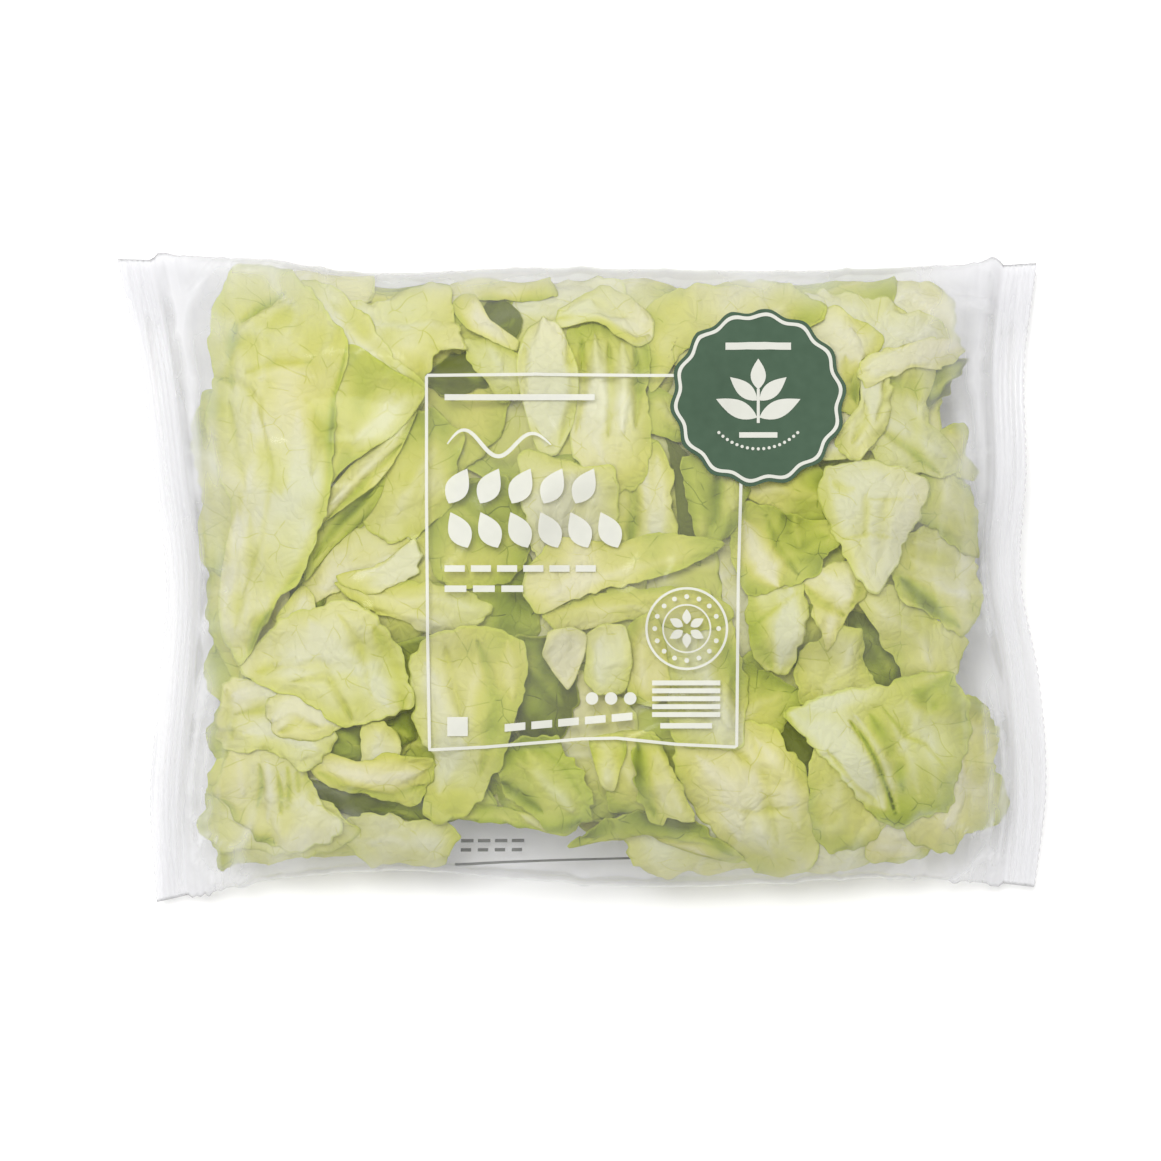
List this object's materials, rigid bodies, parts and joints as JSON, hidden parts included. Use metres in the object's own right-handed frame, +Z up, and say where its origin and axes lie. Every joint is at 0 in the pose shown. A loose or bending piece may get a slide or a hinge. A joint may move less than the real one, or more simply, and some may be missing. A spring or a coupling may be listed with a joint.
{
  "type": "bag of salad leaves",
  "caption": "Sealed clear pillow bag filled with pale green lettuce leaves, lying flat, with a crimped seal at each end and folded long sides.",
  "frame": {"origin": "under the middle of the bag, on the surface that it lies on", "axes": "+X along the bag from one end seal to the other, +Y across it, +Z up out of the printed front"},
  "size_m": [0.3396, 0.236, 0.0663],
  "materials": {
    "leaf_filled_film": "clear film over pale green leaves",
    "clear_film": "clear glossy film, slightly milky, with crimped end seals",
    "lettuce_leaf": "soft waxy leaf, cream at the rib and green at the rim",
    "white_ink": "white ink printed on the film",
    "green_ink": "dark green ink printed on the film",
    "grey_ink": "dark grey ink printed on the back of the film"
  },
  "bodies": {
    "root": {"salad_bag": "leaf_filled_film"}
  },
  "joints": []
}
